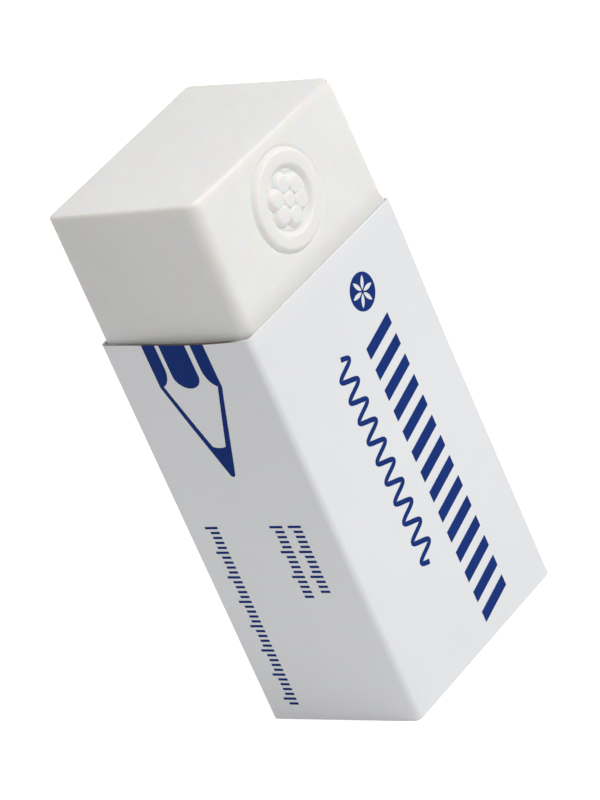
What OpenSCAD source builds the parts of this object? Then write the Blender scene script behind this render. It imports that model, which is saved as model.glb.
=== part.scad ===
// White vinyl eraser in a folded card sleeve.
// It stands on its far end, with the bare end of the rubber on top. The origin is
// the middle of the foot, the broad printed face looks to -Y and the glued side to +X.

/* [Rubber block] */
// Width of the rubber across its broad face
block_w = 18.2; // [14:0.2:24]
// Thickness of the rubber
block_t = 13.4; // [11:0.2:18]
// Radius along the four long edges
long_edge_r = 0.6; // [0.5:0.1:1.5]
// Radius around the two ends
end_edge_r = 0.3; // [0.1:0.05:1]

/* [Raised rosette] */
// Outer radius of the ring
ring_r = 3.6; // [3.4:0.1:5]
// Width of the ring's band
ring_band = 1.2; // [0.6:0.1:1.6]
// Width of the groove between the ring and the flower
ring_gap = 0.4; // [0.3:0.1:0.8]
// Height of the relief above the rubber
relief_h = 0.3; // [0.1:0.05:0.5]
// Bare rubber between the rosette and the free end
end_margin = 1.3; // [1:0.1:4]
// Bare rubber between the rosette and the sleeve
mouth_margin = 2.1; // [1.6:0.1:6]

/* [Card sleeve] */
// Length of the sleeve
sleeve_l = 32.4; // [26:0.2:50]
// Thickness of the card
card_t = 0.2; // [0.1:0.05:0.4]
// Inside radius of the four folds
fold_r = 0.3; // [0.2:0.1:0.6]
// Distance from the back panel to the free edge of the glue flap under the outer side panel
flap_setback = 1.5; // [1:0.1:6]
// Distance from the front of the sleeve to the free edge of the outer side panel
seam_setback = 1.2; // [1:0.1:2]

/* [Fits] */
// Gap between the rubber and the card on the two narrow sides
side_gap = 0.08; // [0.05:0.01:0.3]
// Gap between the rubber and the card on the two broad faces
face_gap = 0.04; // [0.02:0.01:0.2]

/* [Hidden] */
$fn = 64;

rosette_z = sleeve_l + mouth_margin + ring_r;
block_l = rosette_z + ring_r + end_margin;

// The glued side has two layers of card, so the rubber lies half a layer off the middle.
block_x = -card_t / 2;
cavity_w = block_w + 2 * side_gap;
cavity_t = block_t + 2 * face_gap;

// Both ends of the lap on the glued side, measured along Y.
flap_end_y = cavity_t / 2 - flap_setback;
panel_end_y = seam_setback - cavity_t / 2 - card_t;

// The flower inside the ring: six round petals that overlap, and a button in the middle.
flower_r = ring_r - ring_band - ring_gap;
petal_r = 0.365 * flower_r;
petal_reach = flower_r - petal_r;
eye_r = 0.32 * flower_r;

// How far the relief is rooted in the rubber, and how far cutters run past the card.
relief_root = 0.5;
cut_past = 1;

// A rectangle centred on the origin, with round corners.
module rounded_rect(w, h, r) {
    square([w - 2 * r, h], center = true);
    square([w, h - 2 * r], center = true);
    for (x = [-1, 1], y = [-1, 1])
        translate([x * (w / 2 - r), y * (h / 2 - r)]) circle(r);
}

// The closed loop of one layer of card, with extra_w more room on the +X side.
module card_loop(extra_w) {
    translate([block_x + extra_w / 2, 0])
        difference() {
            rounded_rect(cavity_w + extra_w + 2 * card_t, cavity_t + 2 * card_t, fold_r + card_t);
            rounded_rect(cavity_w + extra_w, cavity_t, fold_r);
        }
}

// The part of the +X half that lies between two heights along Y.
module glued_half(y_low, y_high) {
    translate([0, y_low]) square([cavity_w, y_high - y_low]);
}

// The rosette's outline: a ring round six petals and a button that joins them.
module rosette_outline() {
    difference() {
        circle(ring_r);
        circle(ring_r - ring_band);
    }
    for (i = [0:5]) rotate(90 + 60 * i) translate([petal_reach, 0]) circle(petal_r);
    circle(eye_r);
}

// The rubber bar, rounded along its edges and around both ends.
module rounded_block() {
    intersection() {
        linear_extrude(block_l) rounded_rect(block_w, block_t, long_edge_r);
        translate([0, block_t / 2, block_l / 2]) rotate([90, 0, 0])
            linear_extrude(block_t) rounded_rect(block_w, block_l, end_edge_r);
        translate([-block_w / 2, 0, block_l / 2]) rotate([90, 0, 90])
            linear_extrude(block_w) rounded_rect(block_t, block_l, end_edge_r);
    }
}

module eraser_block() {
    color("whitesmoke") translate([block_x, 0, 0]) {
        rounded_block();
        translate([0, relief_root - block_t / 2, rosette_z]) rotate([90, 0, 0])
            linear_extrude(relief_root + relief_h) rosette_outline();
    }
}

// One strip of card: from the glue flap round the front, the side and the back,
// and then over the flap again as the outer side panel.
module card_sleeve() {
    edge_y = cavity_t / 2 + card_t + cut_past;
    color("gainsboro") linear_extrude(sleeve_l) {
        difference() {
            card_loop(0);
            glued_half(flap_end_y, edge_y);
        }
        difference() {
            card_loop(card_t);
            glued_half(-edge_y, panel_end_y);
        }
    }
}

eraser_block();
card_sleeve();
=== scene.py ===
import math
import bmesh
import bpy
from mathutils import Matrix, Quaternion, Vector


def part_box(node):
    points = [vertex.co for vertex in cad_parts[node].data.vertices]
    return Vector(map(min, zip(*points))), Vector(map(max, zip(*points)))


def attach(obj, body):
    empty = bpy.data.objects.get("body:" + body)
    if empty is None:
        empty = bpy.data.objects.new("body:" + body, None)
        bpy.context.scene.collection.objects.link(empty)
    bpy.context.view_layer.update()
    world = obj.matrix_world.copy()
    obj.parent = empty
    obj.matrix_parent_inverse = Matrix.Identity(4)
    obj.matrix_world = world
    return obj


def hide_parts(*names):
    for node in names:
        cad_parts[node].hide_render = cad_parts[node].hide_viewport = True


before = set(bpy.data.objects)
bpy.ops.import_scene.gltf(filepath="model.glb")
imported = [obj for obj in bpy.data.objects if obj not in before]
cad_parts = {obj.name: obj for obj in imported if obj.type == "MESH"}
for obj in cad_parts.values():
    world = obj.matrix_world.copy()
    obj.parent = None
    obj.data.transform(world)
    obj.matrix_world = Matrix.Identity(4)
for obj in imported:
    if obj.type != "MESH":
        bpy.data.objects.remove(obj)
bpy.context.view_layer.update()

mm = 0.001
tiny = 0.001 * mm          # anything closer than this is the same place
print("frame loaded:", ", ".join(sorted(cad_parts)))


# small helpers for working on a piece

def deselectAll():
    if bpy.context.object and bpy.context.object.mode != "OBJECT":
        bpy.ops.object.mode_set(mode="OBJECT")
    bpy.ops.object.select_all(action="DESELECT")


def makeActive(piece):
    deselectAll()
    piece.select_set(True)
    bpy.context.view_layer.objects.active = piece


def applyPlace(piece):
    makeActive(piece)
    bpy.ops.object.transform_apply(location=True, rotation=True, scale=True)


def addBox(name, low, high):
    deselectAll()
    bpy.ops.mesh.primitive_cube_add(size=1, location=(low + high) / 2, scale=high - low)
    piece = bpy.context.object
    piece.name = piece.data.name = name
    applyPlace(piece)
    return piece


def openPiece(piece):
    makeActive(piece)
    bpy.ops.object.mode_set(mode="EDIT")


def closePiece():
    bpy.ops.object.mode_set(mode="OBJECT")


# selects what passes the test, in edit mode
def pick(piece, kind, test):
    bpy.ops.mesh.select_mode(type=kind)
    bpy.ops.mesh.select_all(action="DESELECT")
    cage = bmesh.from_edit_mesh(piece.data)
    items = {"VERT": cage.verts, "EDGE": cage.edges, "FACE": cage.faces}[kind]
    for item in items:
        if test(item):
            item.select_set(True)
    cage.select_flush_mode()
    bmesh.update_edit_mesh(piece.data)


def middleOf(item):
    return sum((v.co for v in item.verts), Vector()) / len(item.verts)


def isUpright(edge):
    run = edge.verts[1].co - edge.verts[0].co
    return abs(run.z) > abs(run.x) + abs(run.y)


# cuts new edges across the selected faces, or across all of them
def cutAcross(point, normal, everything=True):
    if everything:
        bpy.ops.mesh.select_all(action="SELECT")
    bpy.ops.mesh.bisect(plane_co=point, plane_no=normal, threshold=tiny)


def applyModifiers(piece):
    makeActive(piece)
    for modifier in list(piece.modifiers):
        bpy.ops.object.modifier_apply(modifier=modifier.name)


# merges doubles, turns the faces outwards and rounds the shading
def tidyMesh(piece, smoothAngle=30):
    openPiece(piece)
    bpy.ops.mesh.select_all(action="SELECT")
    bpy.ops.mesh.remove_doubles(threshold=tiny)
    bpy.ops.mesh.normals_make_consistent(inside=False)
    closePiece()
    makeActive(piece)
    bpy.ops.object.shade_smooth_by_angle(angle=math.radians(smoothAngle))


def finishPiece(piece, body, slotName, *materials):
    applyPlace(piece)
    for number, material in enumerate(materials):
        if number < len(piece.data.materials):
            piece.data.materials[number] = material
        else:
            piece.data.materials.append(material)
    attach(piece, body)


# the camera, in millimetres and degrees

view = {
    "place": (-238.96, -239.56, 171.45),
    "aim": (-0.14, 0.2, 21.59),
    "lean": 24.15,          # degrees that the camera leans to its right
    "lens": 231.79,
    "sensor": 36,
    "near": 50 * mm,
    "far": 20,
}


def setCamera():
    place = Vector(view["place"]) * mm
    aim = Vector(view["aim"]) * mm
    bpy.ops.object.camera_add(location=place)
    camera = bpy.context.object
    camera.name = "studioCamera"
    lean = Quaternion((0, 0, 1), -math.radians(view["lean"]))
    camera.rotation_euler = ((aim - place).to_track_quat("-Z", "Y") @ lean).to_euler()
    camera.data.lens = view["lens"]
    camera.data.sensor_width = view["sensor"]
    camera.data.clip_start = view["near"]
    camera.data.clip_end = view["far"]
    bpy.context.scene.camera = camera


setCamera()
print("camera set")


# helpers for material nodes

def newMaterial(name):
    material = bpy.data.materials.new(name)
    material.use_nodes = True
    material.node_tree.nodes.clear()
    return material, material.node_tree


def addNode(tree, kind, **settings):
    node = tree.nodes.new(kind)
    for key, value in settings.items():
        if hasattr(node, key):
            setattr(node, key, value)
        else:
            node.inputs[key].default_value = value
    return node


def blend(tree, fac, low, high):
    node = addNode(tree, "ShaderNodeMix", data_type="RGBA")
    node.inputs["A"].default_value = (*low, 1)
    node.inputs["B"].default_value = (*high, 1)
    tree.links.new(fac, node.inputs["Factor"])
    return node.outputs["Result"]


def spread(tree, value, low, high):
    node = addNode(tree, "ShaderNodeMapRange")
    node.inputs["To Min"].default_value = low
    node.inputs["To Max"].default_value = high
    tree.links.new(value, node.inputs["Value"])
    return node.outputs["Result"]


grain = {
    "blotchDetail": 3,
    "speckDetail": 2,
    "rough": 0.55,
    "low": 0.3,                # noise below this is 0, and above the high it is 1
    "high": 0.7,
}


# Grain shared by all the finishes: broad soft blotches and fine specks, each from 0 to 1.
def makeGrainGroup():
    group = bpy.data.node_groups.new("surfaceGrain", "ShaderNodeTree")
    face = group.interface
    face.new_socket("Place", in_out="INPUT", socket_type="NodeSocketVector")
    for name in ("Blotch Scale", "Speck Scale"):
        face.new_socket(name, in_out="INPUT", socket_type="NodeSocketFloat")
    for name in ("Blotches", "Specks"):
        face.new_socket(name, in_out="OUTPUT", socket_type="NodeSocketFloat")
    start = group.nodes.new("NodeGroupInput")
    end = group.nodes.new("NodeGroupOutput")
    for scaleName, detail, outName in (("Blotch Scale", grain["blotchDetail"], "Blotches"),
                                       ("Speck Scale", grain["speckDetail"], "Specks")):
        noise = addNode(group, "ShaderNodeTexNoise", Detail=detail, Roughness=grain["rough"])
        group.links.new(start.outputs["Place"], noise.inputs["Vector"])
        group.links.new(start.outputs[scaleName], noise.inputs["Scale"])
        level = addNode(group, "ShaderNodeMapRange", clamp=True)
        level.inputs["From Min"].default_value = grain["low"]
        level.inputs["From Max"].default_value = grain["high"]
        group.links.new(noise.outputs["Fac"], level.inputs["Value"])
        group.links.new(level.outputs["Result"], end.inputs[outName])
    return group


grainGroup = makeGrainGroup()


# One soft band shared by the painted shades: 0 where a place is unshaded, 1 where the painted shade is
# full.
def makeBandGroup():
    group = bpy.data.node_groups.new("softBand", "ShaderNodeTree")
    for name in ("Place", "Clean", "Soiled"):
        group.interface.new_socket(name, in_out="INPUT", socket_type="NodeSocketFloat")
    group.interface.new_socket("Mask", in_out="OUTPUT", socket_type="NodeSocketFloat")
    start = group.nodes.new("NodeGroupInput")
    end = group.nodes.new("NodeGroupOutput")
    step = addNode(group, "ShaderNodeMapRange", interpolation_type="SMOOTHSTEP")
    group.links.new(start.outputs["Place"], step.inputs["Value"])
    group.links.new(start.outputs["Clean"], step.inputs["From Min"])
    group.links.new(start.outputs["Soiled"], step.inputs["From Max"])
    group.links.new(step.outputs["Result"], end.inputs["Mask"])
    return group


bandGroup = makeBandGroup()


# lays one painted shade over a colour, where all its bands meet; a band runs along an axis
def addPaintedShade(tree, place, colour, paintedShade):
    split = addNode(tree, "ShaderNodeSeparateXYZ")
    tree.links.new(place, split.inputs["Vector"])
    mask = None
    for axis, unshadedAt, shadedAt in paintedShade["bands"]:
        band = addNode(tree, "ShaderNodeGroup", node_tree=bandGroup, Clean=unshadedAt, Soiled=shadedAt)
        tree.links.new(split.outputs[axis], band.inputs["Place"])
        if mask is None:
            mask = band.outputs["Mask"]
            continue
        product = addNode(tree, "ShaderNodeMath", operation="MULTIPLY")
        tree.links.new(mask, product.inputs[0])
        tree.links.new(band.outputs["Mask"], product.inputs[1])
        mask = product.outputs[0]
    cover = addNode(tree, "ShaderNodeMath", operation="MULTIPLY")
    cover.inputs[1].default_value = paintedShade.get("share", 1)
    tree.links.new(mask, cover.inputs[0])
    shadeMix = addNode(tree, "ShaderNodeMix", data_type="RGBA")
    shadeMix.inputs["B"].default_value = (*paintedShade["colour"], 1)
    tree.links.new(cover.outputs[0], shadeMix.inputs["Factor"])
    tree.links.new(colour, shadeMix.inputs["A"])
    return shadeMix.outputs["Result"]


# One finish: two near colours in blotches, any painted shade over them, and a fine bump of the given
# depth.
def makeFinish(look):
    material, tree = newMaterial(look["name"])
    place = addNode(tree, "ShaderNodeTexCoord")
    noise = addNode(tree, "ShaderNodeGroup", node_tree=grainGroup)
    noise.inputs["Blotch Scale"].default_value = 1 / look["blotchSize"]
    noise.inputs["Speck Scale"].default_value = 1 / look["speckSize"]
    tree.links.new(place.outputs["Object"], noise.inputs["Place"])
    shader = addNode(tree, "ShaderNodeBsdfPrincipled")
    end = addNode(tree, "ShaderNodeOutputMaterial")
    tree.links.new(shader.outputs["BSDF"], end.inputs["Surface"])
    colour = blend(tree, noise.outputs["Blotches"], look["dark"], look["light"])
    # painted shade is laid over the colour here
    for paintedShade in look.get("paintedShades", ()):
        colour = addPaintedShade(tree, place.outputs["Object"], colour, paintedShade)
    tree.links.new(colour, shader.inputs["Base Color"])
    roughness = spread(tree, noise.outputs["Specks"], *look["roughness"])
    tree.links.new(roughness, shader.inputs["Roughness"])
    bump = addNode(tree, "ShaderNodeBump", Strength=1, Distance=look["speckDepth"])
    tree.links.new(noise.outputs["Specks"], bump.inputs["Height"])
    tree.links.new(bump.outputs["Normal"], shader.inputs["Normal"])
    shader.inputs["Specular IOR Level"].default_value = look["shine"]
    if "glow" in look:                     # light that soaks into the rubber
        shader.inputs["Subsurface Weight"].default_value = look["glow"]["weight"]
        shader.inputs["Subsurface Radius"].default_value = look["glow"]["radius"]
        shader.inputs["Subsurface Scale"].default_value = look["glow"]["depth"]
    return material


rubber = {
    "sideEdge": 0.6 * mm,
    "sideSteps": 10,
    "wearDepth": 3 * mm,       # how far into the sleeve the front edges are changed
    "worn": (                  # side, share of the bare length, times rounder, how far inwards
        (-1, 0, 1.5, 0.08 * mm),
        (-1, 0.06, 1.534, 0.092 * mm),
        (-1, 0.885, 2, 0.25 * mm),
        (-1, 1, 1.5, 0.25 * mm),
        (1, 0, 0.55, -0.19 * mm),
        (1, 0.06, 0.75, -0.05 * mm),
        (1, 1, 1.7, 0.03 * mm),
    ),
    "endEdge": 0.3 * mm,
    "endSteps": 5,
    "swell": 0.036 * mm,       # how far the soft broad faces press out towards the card
    "endSlope": 0.45,          # degrees by which the bare end is cut out of square
    "endTwist": 1.5,           # and by which its right edge is turned
    "endReach": 2 * mm,        # how far from a column its part of the end may lie
    "facing": 0.9,             # how squarely the front face looks to the front
    "look": {
        "name": "whiteVinyl",
        "dark": (0.868, 0.861, 0.838),
        "light": (0.888, 0.883, 0.863),
        "blotchSize": 2.5 * mm,
        "speckSize": 0.12 * mm,
        "speckDepth": 0.003 * mm,
        "roughness": (0.42, 0.52),
        "shine": 0.4,
        "glow": {"weight": 1.0, "radius": (1.0, 0.65, 0.45), "depth": 0.5 * mm},
        "paintedShades": (              # painted shade; each band: its axis, and where it is unshaded and where fully shaded
            # painted shade: the front face a little darker and warmer where it meets the sleeve's edge
            {"colour": (0.77, 0.755, 0.725),
             "bands": (("Z", 34.2 * mm, 32.4 * mm),
                       ("Z", 31.9 * mm, 32.3 * mm),
                       ("Y", -6.1 * mm, -6.7 * mm))},
            # painted shade: a darker line down in the slit on the pencil's side
            {"colour": (0.72, 0.695, 0.665),
             "bands": (("Z", 32.34 * mm, 32.22 * mm),
                       ("Z", 31.4 * mm, 31.8 * mm),
                       ("X", -8.9 * mm, -9.15 * mm))},
            # painted shade: the pencil's side darker away from the front edge
            {"colour": (0.3, 0.3, 0.29), "share": 0.1,
             "bands": (("Y", -5 * mm, 5 * mm), ("X", -8.9 * mm, -9.15 * mm))},
        ),
    },
}
rosette = {
    "height": 0.3 * mm,
    "ringRadius": 3.6 * mm,
    "ringBand": 1.2 * mm,
    "ringGap": 0.4 * mm,
    "petals": 6,
    "petalShare": 0.365,       # radius of a petal, as a share of the flower's
    "eyeShare": 0.32,          # the same for the button in the middle
    "endMargin": 1.3 * mm,     # bare rubber from the ring to the end of the block
    "slopeOut": 0.16 * mm,     # how far the soft slope runs outside the outline
    "slopeIn": 0.2 * mm,       # and inside it
    "crease": 0.1 * mm,        # depth of the crease at the foot of the slope
    "creaseHalf": 0.2 * mm,    # half its width
    "fieldMargin": 0.4 * mm,   # from the ring to the border of the finely divided field
    "cuts": (10, 11),          # the field is divided twice
}


# how far a point lies outside the rosette's outline, negative inside it
def rosetteDistance(u, v):
    radius = math.hypot(u, v)
    band = rosette["ringBand"] / 2
    ring = abs(radius - rosette["ringRadius"] + band) - band
    flower = rosette["ringRadius"] - rosette["ringBand"] - rosette["ringGap"]
    petalRadius = rosette["petalShare"] * flower
    sector = 2 * math.pi / rosette["petals"]
    angle = math.atan2(u, v)
    angle -= sector * round(angle / sector)
    along, across = radius * math.cos(angle), radius * math.sin(angle)
    petal = math.hypot(along - flower + petalRadius, across) - petalRadius
    eye = radius - rosette["eyeShare"] * flower
    return min(ring, petal, eye)


def rosetteWeight(u, v):
    slope = rosette["slopeOut"] + rosette["slopeIn"]
    level = (rosette["slopeOut"] - rosetteDistance(u, v)) / slope
    level = min(max(level, 0), 1)
    return level * level * (3 - 2 * level)


def creaseWeight(u, v):
    away = abs(rosetteDistance(u, v) - rosette["slopeOut"]) / rosette["creaseHalf"]
    return math.cos(math.pi / 2 * min(away, 1)) ** 2


def buildRubber():
    low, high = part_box("eraser_block")
    low.y += rosette["height"] - rubber["swell"]    # the flat face lies behind the rosette
    high.y += rubber["swell"]
    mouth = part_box("card_sleeve")[1].z
    middleX = (low.x + high.x) / 2
    block = addBox("rubberBlock", low, high)
    openPiece(block)
    bare = high.z - mouth
    cutAcross((0, 0, mouth - rubber["wearDepth"]), (0, 0, 1))
    for share in sorted({share for side, share, rounder, inwards in rubber["worn"] if share < 1}):
        cutAcross((0, 0, mouth + bare * share), (0, 0, 1))
    pick(block, "EDGE", isUpright)
    bpy.ops.mesh.bevel(offset=rubber["sideEdge"], segments=rubber["sideSteps"], affect="EDGES")

    # the front edges are worn rounder and a little inwards, most of all the left one near the
    # bare end; the right one stands out sharp where it meets the card
    reachIn = rubber["sideEdge"] + tiny
    for side, share, rounder, inwards in rubber["worn"]:
        level = mouth + bare * share
        edge = low.x if side < 0 else high.x
        pick(block, "VERT", lambda v: abs(v.co.z - level) < tiny
             and abs(v.co.x - edge) < reachIn and v.co.y < low.y + reachIn)
        bpy.ops.transform.resize(value=(rounder, rounder, 1), center_override=(edge, low.y, level))
        bpy.ops.transform.translate(value=(-side * inwards, 0, 0))
    for level in (low.z, high.z):
        pick(block, "EDGE", lambda e: all(abs(v.co.z - level) < tiny for v in e.verts))
        bpy.ops.mesh.bevel(offset=rubber["endEdge"], segments=rubber["endSteps"], affect="EDGES")

    # a square field for the rosette on the front face, finely divided later
    reach = rosette["ringRadius"] + rosette["fieldMargin"]
    middleZ = high.z - rosette["endMargin"] - rosette["ringRadius"]
    for side in (-1, 1):
        cutAcross((middleX + side * reach, 0, 0), (1, 0, 0))

    # the bare end is cut a little out of square, and more so towards its right edge
    def inEnd(vertex):
        return vertex.co.z > high.z - rubber["endEdge"] - tiny
    for edge in (low.x, middleX - reach, middleX + reach, high.x):
        share = (edge - low.x) / (high.x - low.x)
        pick(block, "VERT", lambda v: inEnd(v) and abs(v.co.x - edge) < rubber["endReach"])
        bpy.ops.transform.rotate(value=-math.radians(rubber["endTwist"] * share), orient_axis="X",
                                 center_override=(0, 0, high.z))
    pick(block, "VERT", inEnd)
    bpy.ops.transform.rotate(value=-math.radians(rubber["endSlope"]), orient_axis="Y",
                             center_override=(low.x, 0, high.z))
    for side in (-1, 1):
        cutAcross((0, 0, middleZ + side * reach), (0, 0, 1))

    def inField(face):
        place = middleOf(face)
        return (face.normal.y < -rubber["facing"] and abs(place.x - middleX) < reach - tiny
                and abs(place.z - middleZ) < reach - tiny)
    for cuts in rosette["cuts"]:
        pick(block, "FACE", inField)
        bpy.ops.mesh.subdivide(number_cuts=cuts)
    closePiece()

    # the rosette and its crease are painted as soft weights, then raised and sunk by them
    for name, weigh, rise in (("rosette", rosetteWeight, rosette["height"]),
                              ("crease", creaseWeight, -rosette["crease"])):
        paint = block.vertex_groups.new(name=name)
        for vertex in block.data.vertices:
            u, v = vertex.co.x - middleX, vertex.co.z - middleZ
            if vertex.co.y < 0 and max(abs(u), abs(v)) < reach - tiny:
                weight = weigh(u, v)
                if weight > 0:
                    paint.add([vertex.index], weight, "REPLACE")
        raised = block.modifiers.new(name, "DISPLACE")
        raised.vertex_group = name
        raised.direction = "Y"
        raised.mid_level = 0
        raised.strength = -rise
    applyModifiers(block)
    block.vertex_groups.clear()
    tidyMesh(block)
    finishPiece(block, "block", "white_vinyl", makeFinish(rubber["look"]))
    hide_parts("eraser_block")
    return block


block = buildRubber()
print("rubber block made:", len(block.data.polygons), "faces")


card = {
    "thickness": 0.2 * mm,
    "foldRadius": 0.4 * mm,     # to the middle of the card
    "foldSteps": 8,
    "flapSetback": 1.5 * mm,    # from the back panel to the free edge of the glue flap
    "seamSetback": 1.2 * mm,    # from the front to the free edge of the outer side panel
    "glue": 0.01 * mm,
    "cutEdge": 0.02 * mm,       # bevel along the cut edges
    "cutSteps": 2,
    "cutAngle": 60,
    "bow": 0.31 * mm,           # how far the mouth bulges on the side of the pencil
    "bowSkew": 0.72,            # under 1 it is fullest near the front
    "bowDepth": 14 * mm,        # how far down the bulge reaches
    "flare": 0.2 * mm,          # how far the glued side stands out at the mouth
    "lift": 0.15 * mm,          # how much higher the cut edge runs at the back of the pencil's side
    "rowStep": 1.4 * mm,        # between the rows of faces that follow the bulge
    "cageColumns": 15,
    "cageRows": 9,
    "cageRoom": 1.02,           # size of the lattice against the sleeve
    "look": {
        "name": "whiteCard",
        "dark": (0.915, 0.923, 0.938),
        "light": (0.93, 0.937, 0.952),
        "blotchSize": 4 * mm,
        "speckSize": 0.16 * mm,
        "speckDepth": 0.0025 * mm,
        "roughness": (0.5, 0.6),
        "shine": 0.3,
        "paintedShades": (              # painted shade: a little darker towards the mouth and on the front face
            {"colour": (0.1, 0.1, 0.1), "share": 0.065, "bands": (("Z", 4 * mm, 32.4 * mm),)},
            {"colour": (0.1, 0.1, 0.1), "share": 0.065, "bands": (("Y", -6.75 * mm, -6.9 * mm),)},
        ),
    },
    "liningLook": {             # the bare grey side of the board
        "name": "greyLining",
        "dark": (0.58, 0.56, 0.53),
        "light": (0.65, 0.63, 0.59),
        "blotchSize": 0.8 * mm,
        "speckSize": 0.15 * mm,
        "speckDepth": 0.008 * mm,
        "roughness": (0.85, 0.95),
        "shine": 0.1,
    },
    "rawLook": {
        "name": "rawCardEdge",
        "dark": (0.88, 0.88, 0.88),
        "light": (0.92, 0.92, 0.92),
        "blotchSize": 0.3 * mm,
        "speckSize": 0.05 * mm,
        "speckDepth": 0.006 * mm,
        "roughness": (0.8, 0.95),
        "shine": 0.1,
        "paintedShades": (              # painted shade: the bulged cut edge on the pencil's side is darkened
            {"colour": (0.12, 0.097, 0.088),
             "bands": (("X", -9.15 * mm, -9.28 * mm),
                       ("Y", -6.9 * mm, -5 * mm),
                       ("Y", 12 * mm, 1.5 * mm))},
        ),
    },
}
sleeveLow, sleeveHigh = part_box("card_sleeve")


def buildSleeve():
    low, high = sleeveLow, sleeveHigh
    half = card["thickness"] / 2
    left, right = low.x + half, high.x - half
    front, back = low.y + half, high.y - half
    flapX = right - card["thickness"] - card["glue"]
    flapEnd = high.y - card["thickness"] - card["flapSetback"]
    panelEnd = low.y + card["seamSetback"]

    # the strip of card starts as the glue flap and is drawn round the rubber
    deselectAll()
    bpy.ops.mesh.primitive_plane_add(size=1, rotation=(0, math.pi / 2, 0),
                                     location=(flapX, (flapEnd + front) / 2, high.z / 2))
    sleeve = bpy.context.object
    sleeve.name = sleeve.data.name = "cardSleeve"
    sleeve.scale = (high.z, flapEnd - front, 1)
    applyPlace(sleeve)
    openPiece(sleeve)
    pick(sleeve, "EDGE", lambda e: isUpright(e) and middleOf(e).y < front + tiny)
    for run in ((left - flapX, 0, 0), (0, back - front, 0),
                (right - left, 0, 0), (0, panelEnd - back, 0)):
        bpy.ops.mesh.extrude_region_move(TRANSFORM_OT_translate={"value": run})

    def isFold(edge):
        return isUpright(edge) and len(edge.link_faces) == 2
    pick(sleeve, "EDGE", isFold)
    bpy.ops.mesh.bevel(offset=card["foldRadius"], segments=card["foldSteps"], affect="EDGES")

    # rows and columns for the bulge near the mouth
    rows = round(card["bowDepth"] / card["rowStep"])
    for row in range(1, rows + 1):
        cutAcross((0, 0, high.z - row * card["rowStep"]), (0, 0, 1))
    columns = round((back - front) / card["rowStep"])
    for column in range(1, columns):
        pick(sleeve, "FACE", lambda f: middleOf(f).x < left + tiny)
        cutAcross((0, front + (back - front) * column / columns, 0), (0, 1, 0), everything=False)
    closePiece()

    for look in ("look", "liningLook", "rawLook"):
        sleeve.data.materials.append(makeFinish(card[look]))
    lining, raw = 1, 2          # their places in the list
    wall = sleeve.modifiers.new("wall", "SOLIDIFY")
    wall.thickness = card["thickness"]
    wall.offset = 0
    wall.use_even_offset = True
    wall.material_offset = lining
    wall.material_offset_rim = raw
    worn = sleeve.modifiers.new("cutEdges", "BEVEL")
    worn.width = card["cutEdge"]
    worn.segments = card["cutSteps"]
    worn.limit_method = "ANGLE"
    worn.angle_limit = math.radians(card["cutAngle"])
    worn.material = raw
    applyModifiers(sleeve)
    tidyMesh(sleeve)
    return sleeve


# A lattice round the sleeve lets the pencil's side bulge at the mouth, card and print together.
# It also lifts that side's cut edge towards the back and lets the glued side stand out.
def bulgeMouth(pieces):
    low, high = sleeveLow, sleeveHigh
    deselectAll()
    bpy.ops.object.add(type="LATTICE", location=(low + high) / 2)
    cage = bpy.context.object
    cage.scale = (high - low) * card["cageRoom"]
    columns, rows = card["cageColumns"], card["cageRows"]
    cage.data.points_u = 2
    cage.data.points_v = columns
    cage.data.points_w = rows
    cage.data.interpolation_type_u = "KEY_LINEAR"
    cage.data.interpolation_type_v = cage.data.interpolation_type_w = "KEY_CARDINAL"
    for number, point in enumerate(cage.data.points):       # even points lie on the pencil's side
        across = (number // 2) % columns / (columns - 1)
        down = (1 - number // (2 * columns) / (rows - 1)) * (high.z - low.z) / card["bowDepth"]
        fade = math.cos(math.pi / 2 * min(down, 1)) ** 2
        if number % 2 == 0:
            swing = math.sin(math.pi * across ** card["bowSkew"]) ** 2
            point.co_deform.x -= card["bow"] * swing * fade / cage.scale.x
            point.co_deform.z += card["lift"] * across * fade / cage.scale.z
        else:
            point.co_deform.x += card["flare"] * fade / cage.scale.x
    for piece in pieces:
        bend = piece.modifiers.new("bulge", "LATTICE")
        bend.object = cage
        applyModifiers(piece)
    bpy.data.objects.remove(cage)


sleeve = buildSleeve()
print("card sleeve made:", len(sleeve.data.polygons), "faces")


# the print is a thin layer of ink on the card
ink = {
    "proud": 0.012 * mm,        # above the card
    "rooted": 0.01 * mm,        # down in it
    "cutStep": 0.7 * mm,        # how finely the print is cut where the card bulges
    "look": {
        "name": "navyInk",
        "dark": (0.0092, 0.0325, 0.184),
        "light": (0.0112, 0.0385, 0.21),
        "blotchSize": 0.9 * mm,
        "speckSize": 0.1 * mm,
        "speckDepth": 0.001 * mm,
        "roughness": (0.5, 0.6),
        "shine": 0.03,
    },
}
inkFinish = makeFinish(ink["look"])
panels = {
    "front": {"turn": (math.pi / 2, 0, 0), "place": Vector((0, sleeveLow.y, 0))},
    "side": {"turn": (math.pi / 2, 0, -math.pi / 2), "place": Vector((sleeveLow.x, 0, 0))},
}


# lays a flat drawing in millimetres on a panel, across from its middle line and up from the foot
def layOnPanel(piece, panelName):
    panel = panels[panelName]
    piece.scale = (mm, mm, mm)
    piece.rotation_euler = panel["turn"]
    outward = Vector((0, 0, 1))
    outward.rotate(piece.rotation_euler)
    piece.location = panel["place"] + outward * (ink["proud"] - ink["rooted"]) / 2
    applyPlace(piece)
    tidyMesh(piece)
    if panelName == "side":
        openPiece(piece)
        spots = [v.co.copy() for v in piece.data.vertices]
        for axis in (1, 2):
            lowest = min(s[axis] for s in spots)
            highest = max(s[axis] for s in spots)
            steps = math.ceil((highest - lowest) / ink["cutStep"])
            for step in range(1, steps):
                point, normal = Vector(), Vector()
                point[axis] = lowest + (highest - lowest) * step / steps
                normal[axis] = 1
                cutAcross(point, normal)
        closePiece()
    finishPiece(piece, "sleeve", "navy_print", inkFinish)
    return piece


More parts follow.
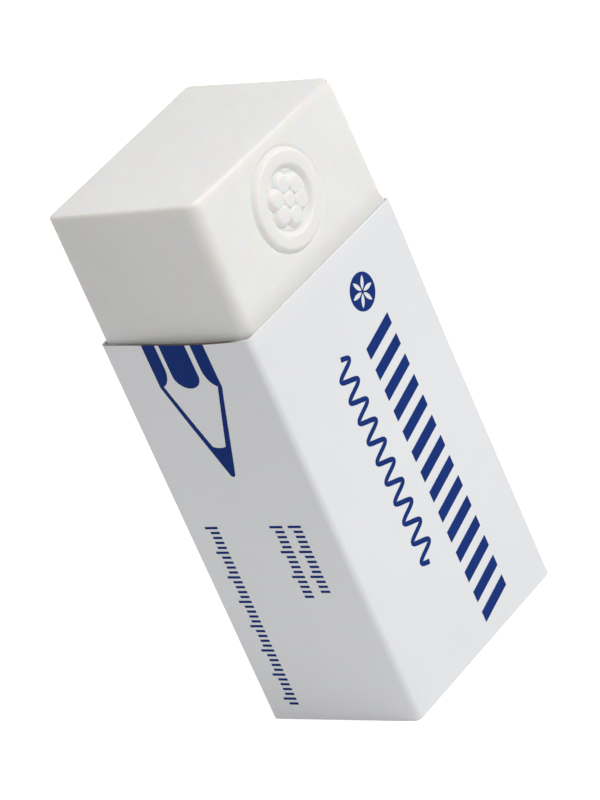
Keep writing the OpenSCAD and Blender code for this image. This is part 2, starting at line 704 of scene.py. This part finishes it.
# a print from closed outlines; an outline inside another one is left bare
def drawPrint(name, panelName, outlines):
    curve = bpy.data.curves.new(name, "CURVE")
    curve.dimensions = "2D"
    curve.fill_mode = "BOTH"
    curve.extrude = (ink["proud"] + ink["rooted"]) / mm / 2
    for outline in outlines:
        spline = curve.splines.new("POLY")
        spline.points.add(len(outline) - 1)
        for point, (u, v) in zip(spline.points, outline):
            point.co = (u, v, 0, 1)
        spline.use_cyclic_u = True
    piece = bpy.data.objects.new(name, curve)
    bpy.context.collection.objects.link(piece)
    makeActive(piece)
    bpy.ops.object.convert(target="MESH")
    piece = bpy.context.object
    piece.data.name = name
    return layOnPanel(piece, panelName)


def arcPoints(middle, radius, start, end, steps, squash=1):
    points = []
    for step in range(steps + 1):
        angle = math.radians(start + (end - start) * step / steps)
        points.append((middle[0] + radius * math.cos(angle),
                       middle[1] + radius * squash * math.sin(angle)))
    return points


# the drawings' sizes are in millimetres
pencil = {
    "middle": 0.0,
    "halfWidth": 2.92,
    "faceHalf": 1.24,        # half the width of the middle face
    "faceRise": 0.8,         # its round end starts this far above the shoulder, as a share of faceHalf
    "faceSquash": 0.85,
    "faceSteps": 24,
    "gaps": (0.41, 0.5),     # between the middle face and the outer ones
    "shoulder": 28.86,
    "shoulderDip": 0.35,
    "roundness": 1.3,        # how tall the outer faces' round corners are for their width
    "cornerSteps": 14,
    "leadTop": 23.88,
    "leadSquash": 0.25,      # how deep the wood dips into the lead
    "tip": 21.25,
    "tipRadius": 0.25,
    "tipArc": (200, 340),
    "tipSteps": 8,
    "line": 0.35,
    "lineNick": 0.02,        # the lines' inner ends start this far above the shoulder
}


def buildPencil():
    p = pencil
    top = sleeveHigh.z / mm
    middle, half = p["middle"], p["halfWidth"]
    outlines = []
    # middle face with a round end
    roundMiddle = (middle, p["shoulder"] + p["faceHalf"] * p["faceRise"])
    outlines.append([(middle + p["faceHalf"], top), (middle - p["faceHalf"], top)]
                    + arcPoints(roundMiddle, p["faceHalf"], 180, 360, p["faceSteps"],
                                squash=p["faceSquash"]))
    # the two outer faces, each with one round corner
    for side, gap in zip((-1, 1), p["gaps"]):
        inner = middle + side * (p["faceHalf"] + gap)
        outer = middle + side * half
        width = abs(outer - inner)
        corner = arcPoints((outer, p["shoulder"] + width * p["roundness"]), width, 180, 270,
                           p["cornerSteps"], squash=p["roundness"])
        if side > 0:
            curve = corner
        else:
            curve = [(2 * outer - u, v) for u, v in corner]
        outlines.append([(outer, top), (inner, top)] + curve)
    # the sharpened cone: two lines that meet in the lead
    lowest = p["tip"]
    slope = half / (p["shoulder"] - lowest)
    leadHalf = slope * (p["leadTop"] - lowest)
    lineWide = p["line"] * math.hypot(1, slope)
    nick = p["shoulder"] + p["lineNick"]
    dip = p["shoulder"] + p["shoulderDip"]
    cone = [(middle - half, dip), (middle - half, p["shoulder"])]
    cone += arcPoints((middle, lowest + p["tipRadius"]), p["tipRadius"], *p["tipArc"], p["tipSteps"])
    cone += [(middle + half, p["shoulder"]), (middle + half, dip)]
    cone += [(middle + half - lineWide, nick), (middle + leadHalf - lineWide, p["leadTop"])]
    cone += arcPoints((middle, p["leadTop"]), leadHalf - lineWide, 360, 180, p["tipSteps"],
                      squash=p["leadSquash"])[1:-1]
    cone += [(middle - leadHalf + lineWide, p["leadTop"]), (middle - half + lineWide, nick)]
    return [drawPrint("pencilFaces", "side", outlines), drawPrint("pencilCone", "side", [cone])]


emblem = {
    "middle": (2.88, 28.57),
    "radius": 1.42,
    "rimSteps": 72,
    "petals": 6,
    "petalStart": 0.12,
    "petalEnd": 1.2,
    "petalWidth": 0.36,
    "petalFullness": 0.8,    # under 1 the petals are fuller towards their ends
    "petalSteps": 12,
}


def buildEmblem():
    e = emblem
    steps = e["petalSteps"]
    outlines = [arcPoints(e["middle"], e["radius"], 0, 360, e["rimSteps"])[:-1]]
    for number in range(e["petals"]):
        turn = 2 * math.pi * number / e["petals"]
        petal = []
        for side in (1, -1):
            for step in range(steps):
                part = step / steps if side > 0 else 1 - step / steps
                along = e["petalStart"] + (e["petalEnd"] - e["petalStart"]) * part
                across = side * e["petalWidth"] / 2 * math.sin(math.pi * part) ** e["petalFullness"]
                petal.append((e["middle"][0] + along * math.cos(turn) - across * math.sin(turn),
                              e["middle"][1] + along * math.sin(turn) + across * math.cos(turn)))
        outlines.append(petal)
    return drawPrint("emblemPrint", "front", outlines)


barRow = {
    "low": 0.87,
    "high": 4.35,
    "top": 25.9,
    "foot": 1.35,
    "bars": 14,
    "barShare": 0.52,        # of a step, the rest is bare
    "lean": 0.9,
}


def buildBarRow():
    b = barRow
    step = (b["top"] - b["foot"] - b["lean"]) / (b["bars"] - 1 + b["barShare"])
    outlines = []
    for number in range(b["bars"]):
        v = b["top"] - number * step
        wide = step * b["barShare"]
        outlines.append([(b["high"], v), (b["low"], v - b["lean"]),
                         (b["low"], v - b["lean"] - wide), (b["high"], v - wide)])
    return drawPrint("barRow", "front", outlines)


wave = {
    "middle": -1.95,
    "reach": 0.85,
    "top": 25.9,
    "foot": 8.7,
    "turns": 10,
    "stepsPerTurn": 20,
    "line": 0.38,
}


def buildWave():
    w = wave
    steps = w["turns"] * w["stepsPerTurn"]
    length = w["top"] - w["foot"]
    sides = ([], [])
    for step in range(steps + 1):
        angle = 2 * math.pi * w["turns"] * step / steps
        u = w["middle"] + w["reach"] * math.sin(angle)
        v = w["top"] - length * step / steps
        du = w["reach"] * math.cos(angle) * 2 * math.pi * w["turns"] / length
        size = math.hypot(du, 1)
        for side, sign in zip(sides, (1, -1)):
            side.append((u + sign * w["line"] / 2 / size, v + sign * w["line"] / 2 * du / size))
    return drawPrint("waveLine", "front", [sides[0] + sides[1][::-1]])


scales = {
    "rows": (
        {"middle": -4.35, "top": 17.0, "foot": 1.4},
        {"middle": 1.75, "top": 17.0, "foot": 10.7},
        {"middle": 3.46, "top": 17.0, "foot": 11.4},
    ),
    "tick": 0.2,
    "step": 0.43,
    "long": 1.2,
    "short": 0.85,
    "every": 5,              # each fifth tick is a long one
}


def buildScales():
    outlines = []
    for row in scales["rows"]:
        count = int((row["top"] - row["foot"]) / scales["step"])
        for number in range(count + 1):
            size = scales["long"] if number % scales["every"] == 0 else scales["short"]
            high = row["middle"] + scales["long"] / 2
            v = row["top"] - number * scales["step"]
            outlines.append([(high, v), (high - size, v), (high - size, v - scales["tick"]),
                             (high, v - scales["tick"])])
    return drawPrint("tickScales", "side", outlines)


prints = buildPencil() + [buildEmblem(), buildBarRow(), buildWave(), buildScales()]
print("print made:", ", ".join(piece.name for piece in prints))

bulgeMouth([sleeve] + prints[:2] + prints[-1:])
finishPiece(sleeve, "sleeve", "sleeve_card", *sleeve.data.materials)
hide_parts("card_sleeve")
print("mouth bulged")


white = (1, 1, 1, 1)
stage = {
    "floorRadius": 3,
    "floorSides": 64,
    "drop": 0.02 * mm,         # from the foot down to the floor
    "floorColour": (0.78, 0.78, 0.78, 1),
    "floorLift": 0.72,         # what the camera sees on top, so that the paper reads white
    "worldLevel": 0.51,
    "softbox": {"from": (0.25, -0.68, 0.69), "away": 0.8, "size": 0.5, "power": 3.33},
}


# 1 where the camera looks, also in a mirror or through glass, and 0 for the soft light
def seenDirectly(tree):
    path = addNode(tree, "ShaderNodeLightPath")
    total = None
    for name in ("Is Camera Ray", "Is Glossy Ray", "Is Transmission Ray"):
        if total is None:
            total = path.outputs[name]
            continue
        sumNode = addNode(tree, "ShaderNodeMath", operation="MAXIMUM")
        tree.links.new(total, sumNode.inputs[0])
        tree.links.new(path.outputs[name], sumNode.inputs[1])
        total = sumNode.outputs[0]
    return total


def buildStage():
    deselectAll()
    bpy.ops.mesh.primitive_circle_add(vertices=stage["floorSides"], radius=stage["floorRadius"],
                                      fill_type="NGON", location=(0, 0, -stage["drop"]))
    floor = bpy.context.object
    floor.name = floor.data.name = "paperFloor"
    material, tree = newMaterial("floorPaper")
    paper = addNode(tree, "ShaderNodeBsdfDiffuse", Color=stage["floorColour"])
    lift = addNode(tree, "ShaderNodeEmission", Color=white)
    level = addNode(tree, "ShaderNodeMath", operation="MULTIPLY")
    level.inputs[1].default_value = stage["floorLift"]
    tree.links.new(seenDirectly(tree), level.inputs[0])
    tree.links.new(level.outputs[0], lift.inputs["Strength"])
    both = addNode(tree, "ShaderNodeAddShader")
    tree.links.new(paper.outputs["BSDF"], both.inputs[0])
    tree.links.new(lift.outputs["Emission"], both.inputs[1])
    end = addNode(tree, "ShaderNodeOutputMaterial")
    tree.links.new(both.outputs["Shader"], end.inputs["Surface"])
    floor.data.materials.append(material)

    world = bpy.data.worlds.new("studio")
    bpy.context.scene.world = world
    world.use_nodes = True
    tree = world.node_tree
    tree.nodes.clear()
    light = addNode(tree, "ShaderNodeBackground", Color=white, Strength=stage["worldLevel"])
    backdrop = addNode(tree, "ShaderNodeBackground", Color=white, Strength=1)
    choose = addNode(tree, "ShaderNodeMixShader")
    end = addNode(tree, "ShaderNodeOutputWorld")
    tree.links.new(seenDirectly(tree), choose.inputs["Fac"])
    tree.links.new(light.outputs["Background"], choose.inputs[1])
    tree.links.new(backdrop.outputs["Background"], choose.inputs[2])
    tree.links.new(choose.outputs["Shader"], end.inputs["Surface"])

    box = stage["softbox"]
    aim = Vector((0, 0, sleeveHigh.z / 2))
    away = Vector(box["from"]).normalized() * box["away"]
    bpy.ops.object.light_add(type="AREA", location=aim + away)
    lamp = bpy.context.object
    lamp.name = "softbox"
    lamp.data.shape = "SQUARE"
    lamp.data.size = box["size"]
    lamp.data.energy = box["power"]
    lamp.rotation_euler = away.to_track_quat("Z", "Y").to_euler()
    bpy.context.scene.view_settings.view_transform = "Standard"


buildStage()
print("stage set")
